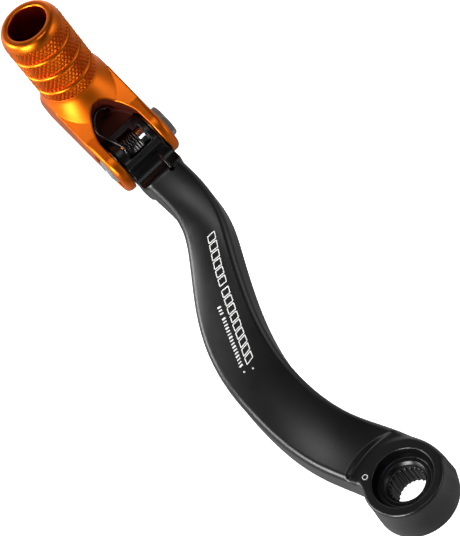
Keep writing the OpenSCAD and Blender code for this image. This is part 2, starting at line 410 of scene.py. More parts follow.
def anodised_orange(name, rough=(0.36, 0.44), ringed=False, lo=(0.80, 0.150, 0.004), hi=(0.90, 0.178, 0.006), coat=0.08):
    m, nt, N, L, b = nodes_of(name)
    co = add(nt, "ShaderNodeTexCoord")
    big = add(nt, "ShaderNodeTexNoise", in_Scale=90.0, in_Detail=4.0)
    fine = add(nt, "ShaderNodeTexNoise", in_Scale=3800.0, in_Detail=3.0, in_Roughness=0.6)
    L.new(co.outputs["Object"], big.inputs["Vector"])
    L.new(co.outputs["Object"], fine.inputs["Vector"])
    col = ramp(nt, big.outputs["Fac"], [(0.3, lo), (0.7, hi)])
    L.new(col.outputs["Color"], b.inputs["Base Color"])
    rg = ramp(nt, big.outputs["Fac"], [(0.3, g(rough[0])), (0.7, g(rough[1]))])
    L.new(rg.outputs["Color"], b.inputs["Roughness"])
    b.inputs["Metallic"].default_value = 1.0
    b.inputs["Coat Weight"].default_value = coat
    b.inputs["Coat Roughness"].default_value = 0.3
    b.inputs["Coat IOR"].default_value = 1.5
    bump = add(nt, "ShaderNodeBump", in_Strength=0.05, in_Distance=0.00002)
    L.new(fine.outputs["Fac"], bump.inputs["Height"])
    last = bump
    if ringed:
        sep = add(nt, "ShaderNodeSeparateXYZ")
        L.new(co.outputs["Object"], sep.inputs[0])
        w = add(nt, "ShaderNodeMath", operation="MULTIPLY")
        w.inputs[1].default_value = 2 * math.pi / 0.00017
        L.new(sep.outputs["Z"], w.inputs[0])
        sn = add(nt, "ShaderNodeMath", operation="SINE")
        L.new(w.outputs[0], sn.inputs[0])
        rb = add(nt, "ShaderNodeBump", in_Strength=0.07, in_Distance=0.00001)
        L.new(sn.outputs[0], rb.inputs["Height"])
        L.new(bump.outputs["Normal"], rb.inputs["Normal"])
        last = rb
    L.new(last.outputs["Normal"], b.inputs["Normal"])
    return m


def steel(name, lo, hi, rough, scale=1500.0, stretch=(1, 1, 1), bump_s=0.08):
    m, nt, N, L, b = nodes_of(name)
    co = add(nt, "ShaderNodeTexCoord")
    mp = add(nt, "ShaderNodeMapping")
    mp.inputs["Scale"].default_value = stretch
    L.new(co.outputs["Object"], mp.inputs["Vector"])
    n = add(nt, "ShaderNodeTexNoise", in_Scale=scale, in_Detail=4.0, in_Roughness=0.6)
    L.new(mp.outputs["Vector"], n.inputs["Vector"])
    col = ramp(nt, n.outputs["Fac"], [(0.3, lo), (0.7, hi)])
    L.new(col.outputs["Color"], b.inputs["Base Color"])
    rg = ramp(nt, n.outputs["Fac"], [(0.3, g(rough[0])), (0.7, g(rough[1]))])
    L.new(rg.outputs["Color"], b.inputs["Roughness"])
    b.inputs["Metallic"].default_value = 1.0
    bump = add(nt, "ShaderNodeBump", in_Strength=bump_s, in_Distance=0.00002)
    L.new(n.outputs["Fac"], bump.inputs["Height"])
    L.new(bump.outputs["Normal"], b.inputs["Normal"])
    return m


def marking():
    m, nt, N, L, b = nodes_of("laser_marking")
    co = add(nt, "ShaderNodeTexCoord")
    n = add(nt, "ShaderNodeTexNoise", in_Scale=3000.0, in_Detail=4.0, in_Roughness=0.7)
    L.new(co.outputs["Object"], n.inputs["Vector"])
    col = ramp(nt, n.outputs["Fac"], [(0.3, (0.62, 0.61, 0.60)), (0.65, (0.86, 0.85, 0.84))])
    L.new(col.outputs["Color"], b.inputs["Base Color"])
    rg = ramp(nt, n.outputs["Fac"], [(0.3, g(0.6)), (0.7, g(0.75))])
    L.new(rg.outputs["Color"], b.inputs["Roughness"])
    return m


M_ARM = anodised_black()
M_TURN = turned_black()
M_LUG = milled_black()
M_TIP = anodised_orange("orange_anodised_milled")
M_PEG = anodised_orange("orange_anodised_turned", rough=(0.30, 0.38), ringed=True)
# painted shade: the tip's pocket, slot and counterbores take a near-black orange-brown with almost no gloss, standing
# in for the shade deep in the milled recesses
M_POCKET_SHADE = anodised_orange("orange_anodised_pocket_painted_shade", rough=(0.50, 0.60), lo=(0.040, 0.005, 0.002), hi=(0.065, 0.008, 0.003), coat=0.0)
M_POCKET_SHADE.node_tree.nodes["Principled BSDF"].inputs["Metallic"].default_value = 0.0
M_POCKET_SHADE.node_tree.nodes["Principled BSDF"].inputs["Specular IOR Level"].default_value = 0.12
M_LEG = steel("black_spring_leg", (0.03, 0.028, 0.027), (0.055, 0.05, 0.048), (0.2, 0.3), 2500.0)
# painted shade: the peg's bore takes a much darker, redder orange, standing in for the shade inside the bore
M_BORE_SHADE = anodised_orange("orange_anodised_bore_painted_shade", rough=(0.30, 0.40), ringed=True, lo=(0.34, 0.016, 0.001), hi=(0.44, 0.022, 0.001), coat=0.0)
M_SPRING = steel("black_spring_wire", (0.05, 0.048, 0.05), (0.09, 0.088, 0.09), (0.16, 0.24), 2500.0)
M_SLEEVE = steel("ground_steel", (0.62, 0.63, 0.66), (0.72, 0.73, 0.76), (0.12, 0.2), 1200.0, (1, 14, 1), 0.05)
M_SCREW = steel("zinc_steel", (0.38, 0.37, 0.36), (0.52, 0.51, 0.50), (0.2, 0.3), 1800.0)
M_NUT = steel("nut_steel", (0.46, 0.44, 0.42), (0.58, 0.555, 0.53), (0.28, 0.4), 1500.0)
M_BUSH = steel("sintered_bronze", (0.40, 0.24, 0.10), (0.56, 0.36, 0.16), (0.3, 0.45), 2600.0)
M_MARK = marking()

# ---------------------------------------------------------------- the arm
# x, y, z of the centre line, width, thickness, crown of the faces
PATH = np.array([
    [-5, -3, 7.9, 20.6, 11.4, 0.2],
    [5, -1.3, 8, 21.6, 11.4, 0.2],
    [15, 1.8, 9.0, 20.9, 11.6, 0.5],
    [25, 6.35, 12.3, 20.6, 11.8, 0.9],
    [35, 9.05, 17, 20.0, 12, 0.9],
    [45, 9.8, 23, 19.5, 12, 0.95],
    [55, 8.85, 29.8, 19.6, 12, 1.0],
    [65, 5.4, 36.8, 19.3, 12, 1.2],
    [74, -0.15, 43.2, 17.7, 12, 1.4],
    [82, -6.1, 48.8, 15.4, 12.2, 1.3],
    [90, -11.25, 54, 14.0, 12.6, 1.2],
    [99, -13.0, 58.9, 13.7, 12.9, 1.0],
    [PX - 14, PY, PZ - 14 * math.tan(TILT), 13.8, 13, 0.9],
    [PX - 4, PY, PZ - 4 * math.tan(TILT), 13.8, 13, 0.9]])


def bspline(P, s, der=False):
    P = np.vstack([2 * P[0] - P[1], P, 2 * P[-1] - P[-2]])
    i = np.clip(np.floor(s).astype(int), 0, len(P) - 4)
    t = (s - i)[:, None]
    a, b, c, d = P[i], P[i + 1], P[i + 2], P[i + 3]
    if der:
        return (-(1 - t) ** 2 * a + (3 * t * t - 4 * t) * b + (-3 * t * t + 2 * t + 1) * c + t * t * d) / 2
    return ((1 - t) ** 3 * a + (3 * t ** 3 - 6 * t * t + 4) * b + (-3 * t ** 3 + 3 * t * t + 3 * t + 1) * c + t ** 3 * d) / 6


knots = np.arange(len(PATH), dtype=float)
CTRL = PATH + (PATH - bspline(PATH, knots))
CTRL = CTRL + 0.5 * (PATH - bspline(CTRL, knots))
SUB = 24
TS = np.linspace(0, len(PATH) - 1, (len(PATH) - 1) * SUB + 1)
TAB = bspline(CTRL, TS)
DER = bspline(CTRL, TS, True)[:, :3]
SPEED = np.linalg.norm(DER, axis=1) / SUB
DIR = DER / np.linalg.norm(DER, axis=1)[:, None]
SIDE = np.stack([-DIR[:, 1], DIR[:, 0], 0 * DIR[:, 0]], 1)
SIDE /= np.linalg.norm(SIDE, axis=1)[:, None]
UP = np.cross(DIR, SIDE)
FULL = np.hstack([TAB, DIR, SIDE, UP, SPEED[:, None]])
COARSE = np.arange(0, len(TS), 4)
EDGE_R = 1.9


def at(s):
    i = np.clip(np.floor(s).astype(int), 0, len(FULL) - 2)
    t = (s - i)[:, None]
    return FULL[i] * (1 - t) + FULL[i + 1] * t


def along(p):
    """Where points are in the bar's own section: table row, across, up, beyond the ends."""
    cc = TAB[COARSE, :3]
    s = np.empty(len(p))
    for a in range(0, len(p), 200000):
        q = p[a:a + 200000]
        d2 = (cc ** 2).sum(1)[None] - 2 * q @ cc.T
        s[a:a + 200000] = COARSE[np.argmin(d2, 1)]
    for _ in range(3):
        r = at(s)
        s = np.clip(s + ((p - r[:, :3]) * r[:, 6:9]).sum(1) / r[:, 15], 0, len(FULL) - 1.0)
    r = at(s)
    q = p - r[:, :3]
    return s, r, (q * r[:, 9:12]).sum(1), (q * r[:, 12:15]).sum(1), (q * r[:, 6:9]).sum(1)


def bar_sd(p):
    s, r, a, b, e = along(p)
    B, H, crown = r[:, 3] / 2, r[:, 4] / 2, r[:, 5]
    bb = np.abs(b) + crown * np.minimum((a / B) ** 2, 1.3)
    qx, qy = np.abs(a) - (B - EDGE_R), bb - (H - EDGE_R)
    d = np.hypot(np.maximum(qx, 0), np.maximum(qy, 0)) + np.minimum(np.maximum(qx, qy), 0) - EDGE_R
    return np.where((s <= 0) | (s >= len(FULL) - 1.001), np.maximum(d, np.abs(e)), d)


def cyl_sd(p, axis_xy, r):
    return np.hypot(p[:, 0] - axis_xy[0], p[:, 1] - axis_xy[1]) - r


BOSS_Z = [0, 1, 3, 5, 7, 8.5, 10, 11.5, 14, 40]
BOSS_R = [13.32, 13.4, 13.4, 13.3, 13.15, 13.05, 12.98, 12.95, 12.95, 12.95]
BOSS_Y = [-0.2, -0.2, -0.18, -0.14, -0.1, -0.06, -0.03, 0, 0, 0]
LUG_R, LUG_Y, SLOT_L, SLOT_R = 7.5, 7.2, 3.9, -4.9


def arm_sd(p):
    z = p[:, 2]
    br = np.interp(z, BOSS_Z, BOSS_R)
    by = np.interp(z, BOSS_Z, BOSS_Y)
    boss = np.maximum(np.hypot(p[:, 0], p[:, 1] - by) - br, z - 30)
    f = to_fork(p)
    u, y, w = f[:, 0], f[:, 1], f[:, 2]
    bar = smax(bar_sd(p), u + 10.4, 0.5)
    d = smin(bar, boss, 2.2)
    # flush with the boss face near the boss, with a small step up to the bar
    step = smax(14 - z, np.hypot(p[:, 0] + 10.4, p[:, 1] + 0.2) - 26.4, 0.9)
    d = smax(d, -step, 0.9)
    d = smax(d, -z, 0.8)
    # lugs, their square lower nose, and the block behind them
    rod = np.hypot(u, w) - LUG_R
    nose = smax(np.abs(u - 3.75) - 3.75, np.abs(w + 3.75) - 3.75, 0.7)
    block = np.maximum(np.abs(u + 7.2) - 7.2, smax(w - 6.2, -w - LUG_R, 1.6))
    lug = smax(smin(np.minimum(rod, nose), block, 0.6), np.abs(y) - LUG_Y, 0.7)
    d = smin(d, lug, 2.0)
    # scoop across the top behind the lugs
    scoop = np.maximum(np.hypot(u + 11.3, w - 7.0) - 4.0, 7.6 - np.hypot(u, w))
    d = smax(d, -scoop, 0.35)
    # slot for the spring
    slot = np.maximum(np.maximum(y - SLOT_L, SLOT_R - y),
                      np.minimum(np.hypot(u, w) - 7.6, np.maximum(-u, np.abs(w) - 20)))
    d = smax(d, -slot, 0.35)
    # hole for the spring's lower leg
    d = smax(d, -np.maximum(np.hypot(u + 16.2, y + 2.9) - 0.75, -w), 0.25)
    # bush seat
    d = np.maximum(d, -(np.hypot(u, w) - 5.5))
    # recess, right through: the splined liner is its own mesh
    d = smax(d, -(np.hypot(p[:, 0], p[:, 1]) - 9.8), 0.45)
    return d


h_arm = 0.42
P, Q, NRM = skin(arm_sd, (-14.4, -22.5, -0.7), (131.5, 21.5, 78), h_arm)
mid = P[Q].mean(1)
mf = to_fork(mid)
cut = (mf[:, 0] > -15.1) | ((np.hypot(mid[:, 0], mid[:, 1]) < 9.95) & (mid[:, 2] < 13.8))
arm = put("shift_arm_forging", P, Q, "arm", ["shift_arm"], [M_ARM, M_LUG], NRM, mat_index=cut)


# the splined liner of the boss: recess floor, chamfer, plain lead-in and serrations
def liner():
    TEETH, PER = 24, 10
    n = TEETH * PER
    th = 2 * math.pi * (np.arange(n) + 0.5) / n
    ph = (np.arange(n) % PER + 0.5) / PER
    tooth = np.clip(np.abs(ph - 0.5) * 4 - 0.55, 0, 1)          # 1 on the crest, 0 in the root
    rows = []

    def row(r, z, teeth=False):
        rr = np.full(n, float(r))
        if teeth:
            rr = 5.98 - tooth * 0.55
        rows.append(np.stack([rr * np.cos(th), rr * np.sin(th), np.full(n, float(z))], 1))
    # outer skirt, hidden in the boss, up to the floor
    row(9.95, 0.5)
    row(9.95, 11.2)
    row(9.75, 11.18)
    row(9.45, 11.22)
    row(9.25, 11.36)
    for r, z in [(9.1, 11.40), (8.35, 11.40), (8.28, 11.38), (8.18, 11.30), (8.05, 11.28), (7.95, 11.34), (7.88, 11.36),
                 (7.5, 11.36), (7.1, 11.36), (7.0, 11.34), (6.85, 11.22), (6.6, 10.98), (6.25, 10.62), (6.08, 10.42)]:
        row(r, z)
    row(5.99, 10.2)
    row(5.985, 9.6)
    row(5.98, 9.30)
    # serrations, with a short bevel at their start
    t2 = tooth
    for k, z in ((0.35, 9.18), (0.8, 9.0), (1.0, 8.85)):
        rr = 5.98 - t2 * 0.55 * k
        rows.append(np.stack([rr * np.cos(th), rr * np.sin(th), np.full(n, z)], 1))
    for z in (7.4, 5.4, 3.4, 1.7):
        row(0, z, True)
    for k, z in ((1.0, 1.3), (0.8, 1.15), (0.2, 0.85)):
        rr = 5.98 - t2 * 0.55 * k
        rows.append(np.stack([rr * np.cos(th), rr * np.sin(th), np.full(n, z)], 1))
    row(6.1, 0.7)
    row(6.5, 0.28)
    row(6.7, 0.2)
    row(8.6, 0.2)
    row(9.6, 0.2)
    row(9.8, 0.3)
    R = np.array(rows)
    m = len(R)
    F = []
    for i in range(m):
        a, b = i * n, ((i + 1) % m) * n
        k = np.arange(n)
        k2 = (k + 1) % n
        F.append(np.stack([a + k, a + k2, b + k2, b + k], 1))
    return R.reshape(-1, 3), np.concatenate(F)


P, F = liner()
ob = put("boss_spline_liner", P, F, "arm", [], [M_TURN])
auto_smooth(ob, 28)


# punch mark on the boss face: a shallow crater with a raised lip
prof = [(0, -0.6), (0.95, -0.6), (0.95, 0.0), (0.9, 0.03), (0.82, 0.04), (0.74, 0.03), (0.66, -0.02), (0.45, -0.06),
        (0.3, -0.05), (0.15, -0.04), (0, -0.03)]
P, F = lathe(prof, 40)
P = P + np.array([9.5, 7.6, 14.0])
ob = put("punch_mark", P, F, "arm", [], [M_MARK])


# the generic laser marking: thin slabs that follow the arm's outer face
def surface(s, a, lift):
    """Point on the bar's upper face at table row s and offset a across it."""
    s, a = np.asarray(s, float), np.asarray(a, float)
    r = at(s)
    B, H, crown = r[:, 3] / 2, r[:, 4] / 2, r[:, 5]
    up = H - crown * (a / B) ** 2 + lift
    return r[:, :3] + r[:, 9:12] * a[:, None] + r[:, 12:15] * up[:, None]


BAND_S = [148, 162, 176, 188, 200, 212, 224, 233]
BAND_A = [-0.8, -2.4, -3.1, -3.0, -2.6, -2.2, -2.1, -2.0]
THIN_S = [149, 158, 168, 178, 186]
THIN_A = [2.2, 1.1, 0.4, 0.2, 0.5]


class Marking:
    """Thin strokes laid on the bar's outer face, all in one mesh."""
    def __init__(self):
        self.P, self.F = [], []

    def stroke(self, line, p, q, wide):
        """p and q are (table row, mm across from the line)."""
        n = 3
        t = np.linspace(0, 1, n)
        s = p[0] + (q[0] - p[0]) * t
        c = p[1] + (q[1] - p[1]) * t
        mm = at(s)[:, 15]
        ds, dc = (q[0] - p[0]) * mm[1], q[1] - p[1]
        ln = math.hypot(ds, dc)
        ns, nc = -dc / ln * wide / 2 / mm[1], ds / ln * wide / 2
        base = len(self.P)
        for lift in (-0.06, 0.015):
            for sign in (-1, 1):
                ss = s + sign * ns
                cc = np.interp(ss, line[0], line[1]) + c + sign * nc
                self.P.extend(surface(ss, cc, lift))
        A, B, C, D = (base + k * n for k in range(4))
        for k in range(n - 1):
            self.F.append((C + k, C + k + 1, D + k + 1, D + k))
            self.F.append((A + k, B + k, B + k + 1, A + k + 1))
            self.F.append((A + k, A + k + 1, C + k + 1, C + k))
            self.F.append((B + k, D + k, D + k + 1, B + k + 1))
        self.F.append((A, C, D, B))
        self.F.append((A + n - 1, B + n - 1, D + n - 1, C + n - 1))


mk = Marking()
band, thin = (BAND_S, BAND_A), (THIN_S, THIN_A)
row_at, k = 232.0, 0
while row_at > 150:
    mm = at(np.array([row_at]))[0, 15]
    if k == 6:
        row_at -= 0.9 / mm
    long_, high, lean = 2.05 / mm, 1.22, 0.55 / mm
    c = [(row_at + lean, -high), (row_at - lean, high), (row_at - lean - long_, high), (row_at + lean - long_, -high)]
    for a_, b_ in zip(c, c[1:] + c[:1]):
        mk.stroke(band, a_, b_, 0.3)
    row_at -= (2.05 + 0.62) / mm
    k += 1
row_at, k = 185.4, 0
while row_at > 149.5:
    mm = at(np.array([row_at]))[0, 15]
    if k == 3:
        row_at -= 0.7 / mm
    mk.stroke(thin, (row_at + 0.14 / mm, -0.62), (row_at - 0.14 / mm, 0.62), 0.36 if k % 3 else 0.52)
    row_at -= 0.98 / mm
    k += 1
for s_, c_ in ((146.6, 3.15), (145.6, 0.35)):
    mk.stroke(band, (s_ - 0.45, c_), (s_ + 0.45, c_), 0.5)
ob = put("surface_marking", mk.P, mk.F, "arm", [], [M_MARK])
auto_smooth(ob, 20)

# ---------------------------------------------------------------- the tip
HUB_Z = np.array([-40, -34, -14, -12.4, -10.4, -8.4, -6.4, -4.4, -2.4, -1.0, -0.2, 0.6])
HUB_R = np.array([16.2, 16.2, 16.1, 15.75, 15.0, 14.05, 13.05, 12.0, 10.85, 10.05, 9.7, 9.6])
zz = np.linspace(-40, 0.6, 800)
k = np.exp(-0.5 * (np.arange(-30, 31) / 12.0) ** 2)
hub_fine = np.interp(zz, HUB_Z, HUB_R)
hub_s = np.convolve(np.pad(hub_fine, 30, mode="edge"), k / k.sum(), mode="valid")

# outline of the pocket's mouth, half of it, then mirrored
half = [(-12, 7.8), (-4, 7.8), (1, 7.8), (4.6, 7.72), (6.4, 7.4), (8, 6.95), (9.6, 6.3), (11.2, 5.45), (12.6, 4.35),
        (13.8, 3.0), (14.7, 1.2)]
half = np.array(half, float)
tt = np.arange(len(half), dtype=float)
fine_t = np.linspace(0, len(half) - 1, 46)


def catmull(P, s):
    P = np.vstack([2 * P[0] - P[1], P, 2 * P[-1] - P[-2]])
    i = np.clip(np.floor(s).astype(int), 0, len(P) - 4)
    t = (s - i)[:, None]
    a, b, c, d = P[i], P[i + 1], P[i + 2], P[i + 3]
    return 0.5 * (2 * b + (c - a) * t + (2 * a - 5 * b + 4 * c - d) * t * t + (3 * b - a - 3 * c + d) * t ** 3)


hc = catmull(half, fine_t)
MOUTH = np.vstack([hc, (hc * [1, -1])[::-1]])
TOP_R = 1.35


def tip_solid(f):
    """The milled block without its pocket, in the fork's frame."""
    u, y, w = f[:, 0], f[:, 1], f[:, 2]
    ear = np.hypot(u + 0.4, w) - 8.8
    al = math.atan2(2.6, 13.7)
    ramp_d = (w - 8.8) * math.cos(al) - (u - 8.3) * math.sin(al)
    top = np.minimum(w - 8.8, ramp_d)
    slab = np.maximum(np.maximum(top, -w - 8.8), np.maximum(u - 22, -u))
    prof = np.minimum(ear, slab)
    # turned hub, on the peg's axis
    du, dw = u - BASE_U, w - BASE_W
    hx, hz = du * CT - dw * ST, du * ST + dw * CT
    rr = np.interp(hz, zz, hub_s)
    slope = (np.interp(hz + 0.1, zz, hub_s) - np.interp(hz - 0.1, zz, hub_s)) / 0.2
    hub = (np.hypot(hx, y - 0.1) - rr) / np.sqrt(1 + slope ** 2)
    hub = np.maximum(hub, hz)
    prof = np.minimum(prof, hub)
    prof = smax(prof, -w - 8.8, 1.0)
    # rounding where the profile meets the two flats
    t = np.clip((10.0 - u) / 6.0, 0, 1)
    e = np.clip((-3.0 - u) / 5.0, 0, 1)
    r = 0.45 + (TOP_R - 0.45) * t * t * (3 - 2 * t) + 0.55 * e
    return smax(prof, np.abs(y) - FW / 2, r)


def tip_sd(f):
    u, y, w = f[:, 0], f[:, 1], f[:, 2]
    d = tip_solid(f)
    mouth = poly_sd(u, y, MOUTH)
    win = smax(mouth, 2.5 - w, 1.2)
    slot = np.maximum(np.abs(y) - GAP / 2, np.maximum(u - 7.75, w - 3.2))
    relief = np.maximum(np.hypot(u, w) - 7.8, np.abs(y) - GAP / 2)
    pocket = np.minimum(np.minimum(win, slot), relief)
    d = smax(d, -pocket, 0.4)
    bore = np.hypot(u, w)
    d = smax(d, -np.maximum(bore - 6.9, FW / 2 - 2.6 - y), 0.25)
    d = smax(d, -np.maximum(bore - 6.9, y + FW / 2 - 1.3), 0.25)
    d = np.maximum(d, -(bore - 3.1))
    return d


h_tip = 0.3
P, Q, NRM = skin(tip_sd, (-10.2, -12, -9.8), (53.5, 12, 14.6), h_tip)
# faces deep inside the milled block (pocket, slot, counterbores) get the painted-shade pocket material
pocket_shade_faces = tip_solid(P[Q].mean(1)) < -0.45
tip = put("toe_tip_body", to_world(P), Q, "tip", ["toe_tip"], [M_TIP, M_POCKET_SHADE], NRM @ FORK.T, mat_index=pocket_shade_faces)


# ---- the knurled peg, about the world's z axis at its foot
PEG_X = PX + BASE_U * CT - BASE_W * ST
PEG_Z = PZ + BASE_U * ST + BASE_W * CT


def peg():
    RK, DEPTH, NK, PER = 10.3, 0.5, 46, 8
    n = NK * PER
    i = np.arange(n)
    th = 2 * math.pi * i / n
    rows, knurl = [], []

    def prof(z):
        """Turned outline: chamfer, grooves, end band."""
        r = np.full_like(z, RK)
        r = np.minimum(r, 9.6 + (z - 0.0) * 0.95)
        for c in (4.9, 12.1, 19.3):
            dz = np.abs(z - c)
            r = np.where(dz < 0.93, np.minimum(r, RK + 0.25 - np.sqrt(np.maximum(0.93 ** 2 - dz ** 2, 0))), r)
        r = np.where(z > 24.2, np.minimum(r, RK - (z - 24.2) * 0.34), r)
        return r

    def add_row(z, r, kn=False):
        rows.append(np.stack([r * np.cos(th), r * np.sin(th), np.full(n, float(z))], 1))
        knurl.append(kn)

    add_row(-1.2, np.full(n, 9.2))
    add_row(-0.05, np.full(n, 9.25))
    add_row(0.0, np.full(n, 9.6))
    pitch = 2 * math.pi * RK / NK / math.tan(math.radians(30)) / PER
    bands = [(0.35, 4.0), (5.8, 11.2), (13.0, 18.4), (20.2, 25.1)]
    starts = []
    for b, (z0, z1) in enumerate(bands):
        m = int(round((z1 - z0) / pitch))
        if b:
            c = (4.9, 12.1, 19.3)[b - 1]
            for a in np.linspace(-0.93, 0.93, 11)[1:-1]:
                z = c + math.sin(a * math.pi / 1.86) * 0.9
                add_row(z, np.full(n, float(prof(np.array([z]))[0])))
        for j in range(m + 1):
            z = z0 + (z1 - z0) * j / m
            a, bb = (i + j) / PER, (i - j) / PER
            hgt = np.maximum(np.abs(2 * (a % 1) - 1), np.abs(2 * (bb % 1) - 1))
            hgt = np.clip((hgt - 0.1) / 0.86, 0, 1)
            r = np.minimum(RK - DEPTH * hgt, prof(np.array([z]))[0])
            add_row(z, r, True)
    for z, r in [(25.35, 9.93), (25.7, 9.82), (26.1, 9.67), (26.5, 9.49), (26.9, 9.27), (27.2, 9.05), (27.42, 8.82),
                 (27.6, 8.56), (27.71, 8.34), (27.78, 8.12), (27.8, 7.9), (27.8, 7.6), (27.79, 7.2), (27.75, 7.02),
                 (27.6, 6.82), (27.35, 6.62), (27.2, 6.58), (26.4, 6.56), (24, 6.56), (18, 6.56), (12, 6.56), (7.0, 6.56),
                 (6.5, 6.4), (6.2, 6.0), (5.2, 3.6), (4.4, 1.6)]:
        add_row(z, np.full(n, r))
    R = np.array(rows)
    m = len(R)
    P = R.reshape(-1, 3)
    P = np.vstack([P, [[0, 0, 4.0]], [[0, 0, -1.2]]])
    tip_i, bot_i = len(P) - 2, len(P) - 1
    F, flat = [], []
    k2 = (i + 1) % n
    off = 0
    j_in_band = 0
    for q in range(m - 1):
        a, b = q * n, (q + 1) * n
        if knurl[q] and knurl[q + 1]:
            j = j_in_band
            anti = (i + j + 1) % PER == 0
            fa, fb = ((i + j + 1.0) / PER) % 1, ((i - j) / PER) % 1
            even = ~anti & (((i - j) % PER == 0) | (np.abs(2 * fb - 1) >= np.abs(2 * fa - 1)))
            for kk in range(n):
                v00, v10, v01, v11 = a + kk, a + k2[kk], b + kk, b + k2[kk]
                flat += [len(F), len(F) + 1]
                if even[kk]:
                    F += [(v00, v10, v11), (v00, v11, v01)]
                else:
                    F += [(v00, v10, v01), (v10, v11, v01)]
            j_in_band += 1
        else:
            j_in_band = 0
            F += [(a + kk, a + int(k2[kk]), b + int(k2[kk]), b + kk) for kk in range(n)]
    last = (m - 1) * n
    F += [(last + kk, last + int(k2[kk]), tip_i) for kk in range(n)]
    F += [(int(k2[kk]), kk, bot_i) for kk in range(n)]
    # faces inside the bore get the painted-shade bore material
    inner = np.array([max(math.hypot(P[v][0], P[v][1]) for v in q) < 6.7 and P[q[0]][2] > 1 for q in F])
    return P + [PEG_X, PY, PEG_Z], F, flat, inner


P, F, flat, inner = peg()
ob = put("toe_peg_knurled", P, F, "tip", [], [M_PEG, M_BORE_SHADE], flat=flat, mat_index=inner)
auto_smooth(ob, 32)


# ---------------------------------------------------------------- pivot hardware
def sweep_wire(path, r, sides=14):
    """A closed round wire along a list of points, with domed ends."""
    path = np.asarray(path, float)
    n = len(path)
    T = np.gradient(path, axis=0)
    T /= np.linalg.norm(T, axis=1)[:, None]
    ref = np.array([0, 0, 1.0]) if abs(T[0][2]) < 0.9 else np.array([1.0, 0, 0])
    U = np.cross(T[0], ref)
    U /= np.linalg.norm(U)
    rings, P = [], []
    for i in range(n):
        U = U - T[i] * (U @ T[i])
        U /= np.linalg.norm(U)
        W = np.cross(T[i], U)
        a = 2 * math.pi * np.arange(sides) / sides
        rings.append((path[i], U.copy(), W, T[i]))
    def ring_at(c, U, W, rr):
        a = 2 * math.pi * np.arange(sides) / sides
        return c + rr * (np.cos(a)[:, None] * U + np.sin(a)[:, None] * W)
    blocks = []
    c, U0, W0, T0 = rings[0]
    for q in (80, 55, 25):
        x = math.radians(q)
        blocks.append(ring_at(c - T0 * r * 0.6 * math.sin(x), U0, W0, r * math.cos(x)))
    for c, U1, W1, _ in rings:
        blocks.append(ring_at(c, U1, W1, r))
    c, U2, W2, T2 = rings[-1]
    for q in (25, 55, 80):
        x = math.radians(q)
        blocks.append(ring_at(c + T2 * r * 0.6 * math.sin(x), U2, W2, r * math.cos(x)))
    P = np.concatenate(blocks)
    m = len(blocks)
    k = np.arange(sides)
    k2 = (k + 1) % sides
    F = [tuple(x) for i in range(m - 1)
         for x in np.stack([i * sides + k, i * sides + k2, (i + 1) * sides + k2, (i + 1) * sides + k], 1)]
    F.append(tuple(range(sides))[::-1])
    F.append(tuple((m - 1) * sides + x for x in range(sides)))
    return P, F


WIRE = 0.95
COIL_R = 6.15 - WIRE / 2
TURNS = 6.0
PITCH = 0.95
Y_L, Y_R = -2.92 + TURNS * PITCH, -2.92      # centre of the end turns


def coil_point(t):
    """t from 0 (left end) to 1 (right end)."""
    ang = math.radians(150) - t * TURNS * 2 * math.pi
    y = Y_L + (Y_R - Y_L) * t
    return np.array([COIL_R * math.cos(ang), y, COIL_R * math.sin(ang)])


path = [coil_point(t) for t in np.linspace(0, 1, int(TURNS * 64) + 1)]
P, F = sweep_wire(path, WIRE / 2 * 0.95)
coil = put("torsion_spring_coil", to_world(P), F, None, ["torsion_spring"], [M_SPRING])


# ---- sleeve
def ring_profile(ri, ro, y0, y1, c=0.25):
    return [(ri, y0), (ro - c, y0), (ro, y0 + c), (ro, y1 - c), (ro - c, y1), (ri, y1)]


def bevel_lathe(prof, segs, place):
    P, F = lathe(prof, segs)
    return place(P), [tuple(reversed(q)) for q in F]


def turned(name, prof, segs, body, nodes, mat, flip=False, angle=30):
    P, F = lathe(prof, segs, lambda p: on_pivot(p, flip))
    ob = put(name, P, F, body, nodes, [mat])
    fix_out(ob)
    auto_smooth(ob, angle)
    return ob


def fix_out(ob):
    """Faces look outwards: the signed volume is positive."""
    me = ob.data
    co = np.empty(len(me.vertices) * 3)
    me.vertices.foreach_get("co", co)
    co = co.reshape(-1, 3)
    co = co - co.mean(0)
    me.calc_loop_triangles()
    t = np.empty(len(me.loop_triangles) * 3, np.int32)
    me.loop_triangles.foreach_get("vertices", t)
    t = t.reshape(-1, 3)
    vol = (co[t[:, 0]] * np.cross(co[t[:, 1]], co[t[:, 2]])).sum()
    if vol < 0:
        me.flip_normals()
        me.update()


turned("pivot_sleeve_ground", ring_profile(3.06, 4.5, -7.79, 7.79, 0.2), 96, "tip", ["pivot_sleeve"], M_SLEEVE)

# ---- bushes: a tube in the lug and a thin flange between lug and ear
for side, inner, name in ((1, 3.9, "flanged_bush_left"), (-1, 4.9, "flanged_bush_right")):
    prof = [(4.55, inner + 0.2), (5.2, inner + 0.2), (5.48, inner + 0.45), (5.48, 7.2), (6.25, 7.2), (6.4, 7.32),
            (6.4, 7.58), (6.25, 7.7), (4.75, 7.7), (4.55, 7.5)]
    turned(name + "_bronze", prof, 96, "arm", [name], M_BUSH, flip=side < 0)


# ---- screw: button head, hex socket, shank and a short run of thread
def hex_sd(x, y, half):
    k = math.radians(60)
    d = np.abs(x)
    for a in (k, 2 * k):
        d = np.maximum(d, np.abs(x * math.cos(a) + y * math.sin(a)))
    return d - half


